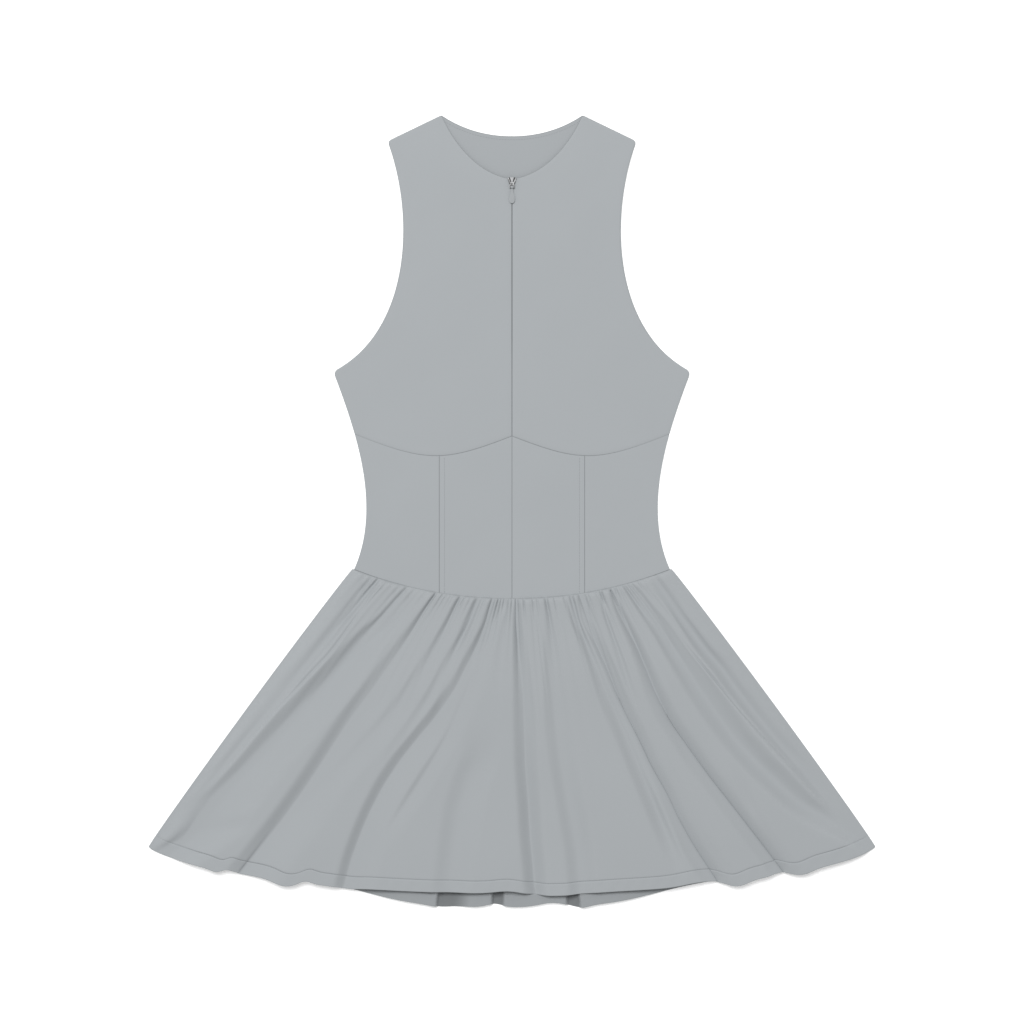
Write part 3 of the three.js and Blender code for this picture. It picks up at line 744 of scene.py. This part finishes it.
def skirtGrid(hem, placesAt):
    # columns run along the anchors, whose places follow the way down, and lie closer beside them;
    # rows near the hem keep an even distance to it. The second round meets the anchors exactly.
    r = rowShares()
    first = placesAt(r[:, None])[0]
    side = np.array(skirt["sideColumns"])
    near = np.linspace(-1, 1, skirt["tuckColumns"]) * skirt["tuckReach"]
    even = np.linspace(-skirt["columnsTo"], skirt["columnsTo"], skirt["columns"])
    clear = skirt["tuckReach"] * (1 + 1.5 / (skirt["tuckColumns"] - 1))
    even = even[np.min(np.abs(even[:, None] - first), axis=1) > clear]
    close = first[:, None] + near
    nearest = np.argmin(np.abs(close[:, :, None] - first), axis=2)
    close = close[nearest == np.arange(len(first))[:, None]]
    u = np.sort(np.concatenate([side - 1, even, close, 1 - side]))
    knots = np.concatenate([[-1], first, [1]])
    hats = np.stack([np.interp(u, knots, unit) for unit in np.eye(len(knots))])
    atAnchors = np.argmin(np.abs(u - first[:, None]), axis=1)
    fixed = smooth((r[:, None] - skirt["bandFrom"]) / (skirt["bandTo"] - skirt["bandFrom"]))
    down = r[:, None]
    for _ in range(2):
        anchors = placesAt(down[:, atAnchors] if down.shape[1] > 1 else down)
        ends = np.ones((len(r), 1))
        place = np.concatenate([-ends, anchors, ends], axis=1) @ hats
        length = heightAt(place, 0, hem) - heightAt(place, 1, hem)
        down = 1 - (1 - r[:, None]) * (1 + (rows["length"] / length - 1) * fixed)
    return place * halfWidthAt(down), heightAt(place, down, hem), place, down


def grow(down, start, end, weak):
    # 0 to 1 after start and back to 0 before end; weak at the waist, full lower down
    first = 1.0 if start == 0 else smooth((down - start) / growth["start"])
    last = 1 - smooth((down - end + growth["end"]) / growth["end"])
    return first * last * (weak + (1 - weak) * smooth(down / growth["full"]))


def crease(distance, shape, wide=1.0, leftRoom=np.inf):
    # a mix of a V, (1-u)^2, and a trough, (1-u^2)^2, where u is the share of its own flank. A
    # soft one has its bottom right of its darkest line, and all are a little round there.
    # Where the side is near, it keeps its width and moves over to the right.
    _, left, right, sharp = shape
    left, right = left * wide, right * wide
    soft = np.maximum(0, 1 - sharp / skirt["bottomSharp"])
    bottom = distance - skirt["bottomShift"] * left * soft
    bottom = bottom - skirt["cornerShift"] * np.maximum(left - leftRoom, 0)
    left = np.maximum(np.minimum(left, leftRoom), skirt["leastFlank"] * left)
    away = np.sqrt(bottom ** 2 + skirt["creaseRound"] ** 2) - skirt["creaseRound"]
    u = np.clip(away / np.where(bottom < 0, left, right), 0, 1)
    return sharp * (1 - u) ** 2 + (1 - sharp) * (1 - u * u) ** 2


def foldFront(x, y, down):
    # all creases, added as the cube root of their cubes so that near ones don't pile up, and
    # the sideways tuck that lays the left of a fold over its right
    depth, sideways = np.zeros_like(x), np.zeros_like(x)
    wide = skirt["narrowest"] + (1 - skirt["narrowest"]) * smooth(down / skirt["wideBy"])
    for name, (shape, reach, track) in frontCreases.items():
        middle = trackX(track, y)
        slope = (trackX(track, y + 1) - trackX(track, y - 1)) / 2
        distance = (x - middle) / np.sqrt(1 + slope ** 2)
        own = shape[0] * grow(down, *reach)
        room = np.maximum(halfWidthAt(down) + middle, skirt["leastRoom"]) * skirt["cornerRoom"]
        depth += (own * crease(distance, shape, wide, room)) ** 3
        if name in overlaps:
            step, start, over, tuck = overlaps[name]
            share = smooth((down - start) / over)
            depth += (step[0] * share * crease(distance, step)) ** 3
            u = distance / skirt["tuckWidth"]
            pull = np.where(u < 0, tuck, tuck * skirt["tuckBack"])
            sideways -= pull * share * u * np.exp(0.5 - 0.5 * u * u)
    return np.cbrt(depth), sideways


def leanAt(place, down):
    # how far a line from the waist leans aside lower down: by 1 - exp(-down / length)
    whole = np.interp(place, fan["places"], fan["leans"]) * fan["length"]
    whole = np.clip(whole, -(1 + place) * fan["room"], (1 - place) * fan["room"])
    return whole * (1 - np.exp(-down / fan["length"]))


def streakDepth(place, down):
    # faint troughs that fan out from the gathers, uneven in place, depth, width and length
    draw = np.random.default_rng(streaks["seed"])
    total = np.zeros_like(place)
    reach, jitter, wander = streaks["reach"], streaks["jitter"], streaks["wander"]
    atWaist, lower = streaks["widen"]
    for start in np.linspace(-reach, reach, streaks["count"]):
        depth, width, end = (draw.uniform(*streaks[key]) for key in ("depth", "width", "to"))
        middle = start + draw.uniform(-jitter, jitter) + draw.uniform(-wander, wander) * down
        middle = middle + leanAt(start, down)
        distance = (place - middle) * halfWidthAt(down)
        width = width * (atWaist + lower * down)
        total += depth * bell(distance, width) * (1 - smooth(down / end))
    return total


def gatherDepth(place, down):
    # a narrow V under each gather that fades downwards, the deeper the longer
    total = np.zeros_like(place)
    least, more = gathers["strongWidth"]
    for column, strength in gathers["places"]:
        start = (column - photo["centre"]) * photo["scale"] / skirt["waistHalf"]
        distance = np.abs(place - start - leanAt(start, down)) * halfWidthAt(down)
        uneven = 1 + gathers["uneven"] * np.sin(column * gathers["unevenTurn"])
        width = gathers["width"] * uneven * (least + more * strength)
        width = width * (1 + gathers["spread"] * down)
        total += strength * np.maximum(1 - distance / width, 0) ** gathers["sharp"] \
            * np.exp(-down / (gathers["fade"] * strength))
    return gathers["deepest"] * np.tanh(total * gathers["depth"] / gathers["deepest"])


def hemDistance(y, down):
    # how far each point lies above the hem
    return (1 - down) * np.abs(y[0] - y[-1])


def towardsHem(down, start):
    # 0 down to the start and 1 at the hem, by the smooth step
    return smooth((down - start) / (1 - start))


def bandHeight(toHem):
    # the turned hem: a low step below its stitches
    return skirt["bandRaise"] * smooth((skirt["band"] - toHem) / skirt["bandSoft"])


def skirtUv(place, down):
    # the skirt's unwrap, in mm
    return np.dstack([place, down]) * skirt["unwrap"]


frontHem = lambda place: hemLine(place, frontHemWaves)
anchored = [frontCreases[name][2] for name in (
    "thinLeft", "deepLeft", "longLeft", "centre", "deepRight", "sharpRight", "thinRight")]
x, y, place, down = skirtGrid(frontHem, lambda down: np.stack(
    [trackPlace(track, down[:, min(i, down.shape[1] - 1)], frontHem)
     for i, track in enumerate(anchored)], axis=1))
depth, sideways = foldFront(x, y, down)
sides = np.maximum(0, 1 - (x / cloth["riseHalf"]) ** 2)
waistRise = cloth["rise"] * sides * (1 - smooth(down / lift["waistRiseBy"]))
stand = lift["waist"] + (lift["middle"] - lift["waist"]) * smooth(down / lift["middleBy"]) \
    + (lift["hem"] - lift["middle"]) * towardsHem(down, lift["hemFrom"]) \
    + lift["centreHem"] * towardsHem(down, lift["centreFrom"]) * bell(place, lift["centreWidth"])
stand *= 1 - np.abs(place) ** lift["sidePower"]
# never lower than the least: half of what is above it plus the root of its square and a bit
above = stand - depth - streakDepth(place, down) - lift["least"]
height = lift["least"] + 0.5 * (above + np.sqrt(above ** 2 + lift["floorTurn"]))
height += gathers["puff"] * np.exp(-down / gathers["puffFade"]) - gatherDepth(place, down)
fromWaist = down * np.abs(y[0] - y[-1])
rollIn = 1 - np.exp(-fromWaist / lift["rollIn"])
height = np.maximum(height, lift["bottom"]) * rollIn * edgeFade(place)
height += ripples(x, y) * skirt["ripple"] * edgeFade(place) * smooth(down / skirt["rippleBy"]) \
    + waistRise
frontToHem = hemDistance(y, down)
wavy = np.sin(x / puckers["length"] + puckers["sway"] * np.sin(x / puckers["swayLength"]))
wavy = puckers["height"] * wavy * bell(frontToHem - puckers["aboveHem"], puckers["reach"])
groove = skirt["stitchGroove"] * bell(frontToHem - skirt["band"], skirt["grooveWidth"])
seam = skirt["seamTuck"] * np.exp(-fromWaist / skirt["seamTuckLength"])
z = cloth["floor"] + cloth["shell"] / 2 + height \
    + (bandHeight(frontToHem) + wavy - groove) * edgeFade(place) - seam
frontMiddle = np.dstack([x + sideways * edgeFade(place), y, z])
clothPiece("skirt_front_cloth", frontMiddle,
           uv=skirtUv(place, down))

# The back stands up inside the hem in flutes with steep ends, which overhang the gaps between
# them: shares of the half width where each rises and falls, then its height.
backFlutes = [
    ((-0.93, -0.86), (-0.84, -0.76), 1.6), ((-0.7, -0.62), (-0.58, -0.5), 2.0),
    ((-0.46, -0.27), (-0.213, -0.203), 6.4), ((-0.166, -0.1), (-0.06, -0.05), 6.0),
    ((-0.03, -0.018), (0.146, 0.158), 5.6), ((0.182, 0.194), (0.27, 0.48), 6.4),
    ((0.52, 0.58), (0.62, 0.68), 2.0), ((0.78, 0.84), (0.87, 0.93), 1.6),
]
steepEnds = (-0.208, -0.163, -0.055, -0.024, 0.152, 0.188)  # columns are anchored there
backHem = {"extra": 16.4, "extraHalf": 172, "tuck": 3.4, "start": 0.6}
backGathers = {"count": 56, "depth": 0.7, "width": 2.6, "fade": 0.07, "seed": 5, "reach": 0.98,
               "jitter": 0.35, "heights": (0.4, 1.4), "longer": 0.5, "spread": 4}
# Painted shade on the back's inner face: a share all over, partly its duller wrong side, and more
# low down in the gaps between the flutes, near the middle.
paintedShades = {"face": 0.3, "gap": 0.7, "gapHeight": 5, "from": 0.8, "over": 0.12,
                "side": 0.25, "sideOver": 0.1}


def backHemLine(place):
    # the front's kind of arch, a little shorter, and longer by a flat bell in the middle
    longer = bell((place * skirt["hemHalf"]) ** 2, backHem["extraHalf"] ** 2)
    tuck = backHem["tuck"] * edgeFade(place)
    return hemLine(place, backHemWaves) + tuck - (backHem["extra"] + backHem["tuck"]) * longer


def backGatherHeight(place, down):
    # small ridges under the waist seam, uneven in place and height
    draw = np.random.default_rng(backGathers["seed"])
    count = backGathers["count"]
    reach, jitter = backGathers["reach"], backGathers["jitter"]
    starts = np.linspace(-reach, reach, count) + draw.uniform(-jitter, jitter, count) * 2 / count
    heights = backGathers["depth"] * draw.uniform(*backGathers["heights"], count)
    total = np.zeros_like(place)
    for start, high in zip(starts, heights):
        distance = (place - start) * halfWidthAt(down)
        width = backGathers["width"] * (1 + backGathers["spread"] * down)
        fade = backGathers["fade"] * (backGathers["longer"] + high)
        total += high * bell(distance, width) * np.exp(-down / fade)
    return total


x, y, place, down = skirtGrid(backHemLine, lambda down: np.tile(steepEnds, (len(down), 1)))
standing = np.zeros_like(place)
for (low, high), (top, bottom), tall in backFlutes:
    standing += tall * smooth((place - low) / (high - low)) \
        * (1 - smooth((place - top) / (bottom - top)))
standing *= towardsHem(down, backHem["start"])
backToHem = hemDistance(y, down)
z = cloth["shell"] / 2 + cloth["restGap"] \
    + (standing + backGatherHeight(place, down) + bandHeight(backToHem)) * edgeFade(place)
backMiddle = np.dstack([x, y, z])
backSkirt = clothPiece("skirt_back_cloth", backMiddle,
                       uv=skirtUv(place, down), finish=jerseyShaded)

# Painted shade on the inner face: a little all over, partly its duller wrong side, and most low
# down in the gaps between the flutes, under the front's hem.
deep = 1 - np.clip(standing / paintedShades["gapHeight"], 0, 1)
hemZone = smooth((down - paintedShades["from"]) / paintedShades["over"]) \
    * (1 - smooth((np.abs(place) - paintedShades["side"]) / paintedShades["sideOver"]))
shade = paintedShades["face"] + paintedShades["gap"] * deep * hemZone
pointValues(backSkirt, "inside", shade.ravel())


print("stitching")

stitch = {"length": 2.4, "gap": 0.7, "radius": 0.17, "arch": 0.12, "sides": 6, "rings": 5,
          "thinnest": 0.02, "sink": 0.05, "neckSink": 0.02, "skip": 4}


def tubes(paths, radii, sides, upward):
    # a circle swept along each path of points, with radii that may change on the way: the centre
    # plus the radius times the cosine of one side direction and the sine of the other
    forward = np.gradient(paths, axis=1)
    forward /= np.linalg.norm(forward, axis=2, keepdims=True)
    side = np.cross(forward, upward)
    side /= np.linalg.norm(side, axis=2, keepdims=True)
    rise = np.cross(side, forward)
    angle = np.linspace(0, 2 * np.pi, sides, endpoint=False)[:, None]
    ring = np.cos(angle) * side[:, :, None] + np.sin(angle) * rise[:, :, None]
    points = paths[:, :, None] + ring * radii[None, :, None, None]
    index = np.arange(points.size // 3).reshape(points.shape[:3])
    a, b = index[:, :-1], index[:, 1:]
    quads = np.stack([a, np.roll(a, -1, 2), np.roll(b, -1, 2), b], axis=-1).reshape(-1, 4)
    ends = np.concatenate([index[:, 0, ::-1], index[:, -1]])
    return points.reshape(-1, 3), quads.tolist() + ends.tolist()


def stitchRow(name, line, finish):
    # small spindles laid end to end along a line, thin at both ends and arched a little
    run = lengths(line)
    starts = np.arange(0, run[-1] - stitch["length"], stitch["length"] + stitch["gap"])
    s = np.linspace(0, 1, stitch["rings"])
    at = (starts[:, None] + s * stitch["length"]) / run[-1]
    paths = along(line, at.ravel()).reshape(len(starts), stitch["rings"], 3)
    paths[..., 2] += np.sin(np.pi * s) * stitch["arch"]
    radii = np.sqrt(np.clip(1 - (2 * s - 1) ** 4, stitch["thinnest"], 1)) * stitch["radius"]
    made = makeMesh(name, *tubes(paths, radii, stitch["sides"], (0, 0, 1.0)), finish)
    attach(made, "dress")


def surfaceLine(middle, toHem, above):
    # the line across a skirt's grid at a fixed distance above its hem, on the outer face
    face = middle + gridNormals(middle) * cloth["shell"] / 2
    columns = range(stitch["skip"], middle.shape[1] - stitch["skip"])
    return np.array([[np.interp(above, toHem[:, c], face[:, c, axis]) for axis in range(3)]
                     for c in columns])


stitchRow("hem_stitch_front", surfaceLine(frontMiddle, frontToHem, skirt["band"]), thread)
stitchRow("hem_stitch_back", surfaceLine(backMiddle, backToHem, skirt["band"]), thread)


# The topstitching lies on the cloth beside the upright seams.
for side, sign in (("left", -1), ("right", 1)):
    stitchX = bodice["topstitch"]
    yTop = np.interp(stitchX, underbustLine[:, 0], underbustLine[:, 1]) - bodice["topstitchEnds"]
    yLow = waistY(stitchX) + bodice["topstitchEnds"]
    plan = np.linspace((sign * stitchX, yLow), (sign * stitchX, yTop), linePoints["stitched"])
    face = frontBase(plan[:, 0], plan[:, 1]) + cloth["shell"]
    stitchRow(f"midriff_topstitch_{side}", np.column_stack([plan, face - stitch["sink"]]),
              topThread)

# The back's neck edge is stitched down on the inside, at an even distance below the edge.
neckEdge = cut(backNeckLine, 0, bodice["neckStitchEnds"])
neckEdge = np.concatenate([mirrored(neckEdge[None])[0], neckEdge[1:]])
neckRun = np.gradient(neckEdge, axis=0)
neckRun /= np.linalg.norm(neckRun, axis=1, keepdims=True)
inward = np.column_stack([neckRun[:, 1], -neckRun[:, 0]]) * bodice["neckStitch"]
neckHeight = np.full(len(neckEdge), cloth["shell"] - stitch["neckSink"])
stitchRow("back_neck_stitch", np.column_stack([neckEdge + inward, neckHeight]), thread)


print("zip")

coil = {"topY": 372.6, "bottomY": 81, "pitch": 1.15, "wire": 0.12, "stepsATurn": 10,
        "middle": (0.95, 3.1), "half": (0.88, 0.6), "sides": 4}
roundEdges = {"weld": 0.01, "segments": 3, "sharperThan": 35}  # mm, steps and degrees


def coilTeeth(name, sign, shift):
    # a nylon coil round the tape's edge: a helix whose turn is an ellipse
    turns = (coil["topY"] - coil["bottomY"]) / coil["pitch"]
    angle = np.arange(0, turns * 2 * np.pi, 2 * np.pi / coil["stepsATurn"])
    path = np.column_stack([
        sign * (coil["middle"][0] - coil["half"][0] * np.cos(angle)),
        coil["topY"] - coil["pitch"] * (angle / (2 * np.pi) + shift),
        coil["middle"][1] + coil["half"][1] * np.sin(angle),
    ])
    radii = np.full(len(path), coil["wire"])
    made = makeMesh(name, *tubes(path[None], radii, coil["sides"], (0, 1.0, 0)), coilNylon)
    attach(made, "dress")


def dressedCopy(node, name, material, body, bevel):
    # the solid's own mesh, merged, with its edges rounded
    mesh = bpy.data.objects[node].data.copy()
    mesh.name = name
    made = addObject(name, mesh)
    mesh.materials.clear()
    mesh.materials.append(material)
    weld = made.modifiers.new("weld", "WELD")
    weld.merge_threshold = roundEdges["weld"] * mm
    rim = made.modifiers.new("rim", "BEVEL")
    rim.width = bevel * mm
    rim.segments = roundEdges["segments"]
    rim.limit_method = "ANGLE"
    rim.angle_limit = np.radians(roundEdges["sharperThan"])
    mesh.polygons.foreach_set("use_smooth", np.full(len(mesh.polygons), True))
    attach(made, body)
    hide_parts(node)


dressedCopy("zip_slider", "slider", sliderMetal, "dress", 0.16)
dressedCopy("zip_pull_tab", "pull_tab", tabPaint, "pull_tab", 0.28)
for side, sign, shift in (("left", -1, 0), ("right", 1, 0.5)):
    dressedCopy(f"zip_tape_{side}", f"tape_{side}", zipTape, "dress", 0.1)
    coilTeeth(f"zip_coil_{side}", sign, shift)


print("camera, light and floor")

view = {"heightMm": 3190, "lens": 100, "sensor": 36, "far": 20}
light = {"keyEnergy": 206, "keySize": 2.0, "keyPlace": (-0.8, 1.8, 5.2), "world": 0.42,
         "floor": 0.97, "glow": 0.3, "floorHalfMm": 4000, "floorDropMm": 0.05}

camera = bpy.data.cameras.new("camera")
camera.lens, camera.sensor_width = view["lens"], view["sensor"]
camera.clip_end = view["far"]
eye = addObject("camera", camera)
eye.location = (0, 0, view["heightMm"] * mm)
bpy.context.scene.camera = eye

key = bpy.data.lights.new("key", "AREA")
key.energy, key.size = light["keyEnergy"], light["keySize"]
lamp = addObject("key", key)
lamp.location = light["keyPlace"]
lamp.rotation_euler = (-lamp.location).to_track_quat("-Z", "Y").to_euler()

world = bpy.data.worlds.new("room")
world.use_nodes = True
background = world.node_tree.nodes["Background"]
background.inputs["Color"].default_value = (1, 1, 1, 1)
background.inputs["Strength"].default_value = light["world"]
bpy.context.scene.world = world

paper = Finish("paper", **{"Roughness": 0.9, "Specular IOR Level": 0.1})
paper.shader.inputs["Base Color"].default_value = (light["floor"],) * 3 + (1,)
paper.shader.inputs["Emission Color"].default_value = (1, 1, 1, 1)
paper.shader.inputs["Emission Strength"].default_value = light["glow"]
corners = np.array([(-1, -1), (1, -1), (1, 1), (-1, 1)]) * light["floorHalfMm"]
corners = np.column_stack([corners, np.full(4, -light["floorDropMm"])])
floor = makeMesh("floor", corners, [[0, 1, 2, 3]], paper.material)
bpy.context.scene.view_settings.view_transform = "Standard"
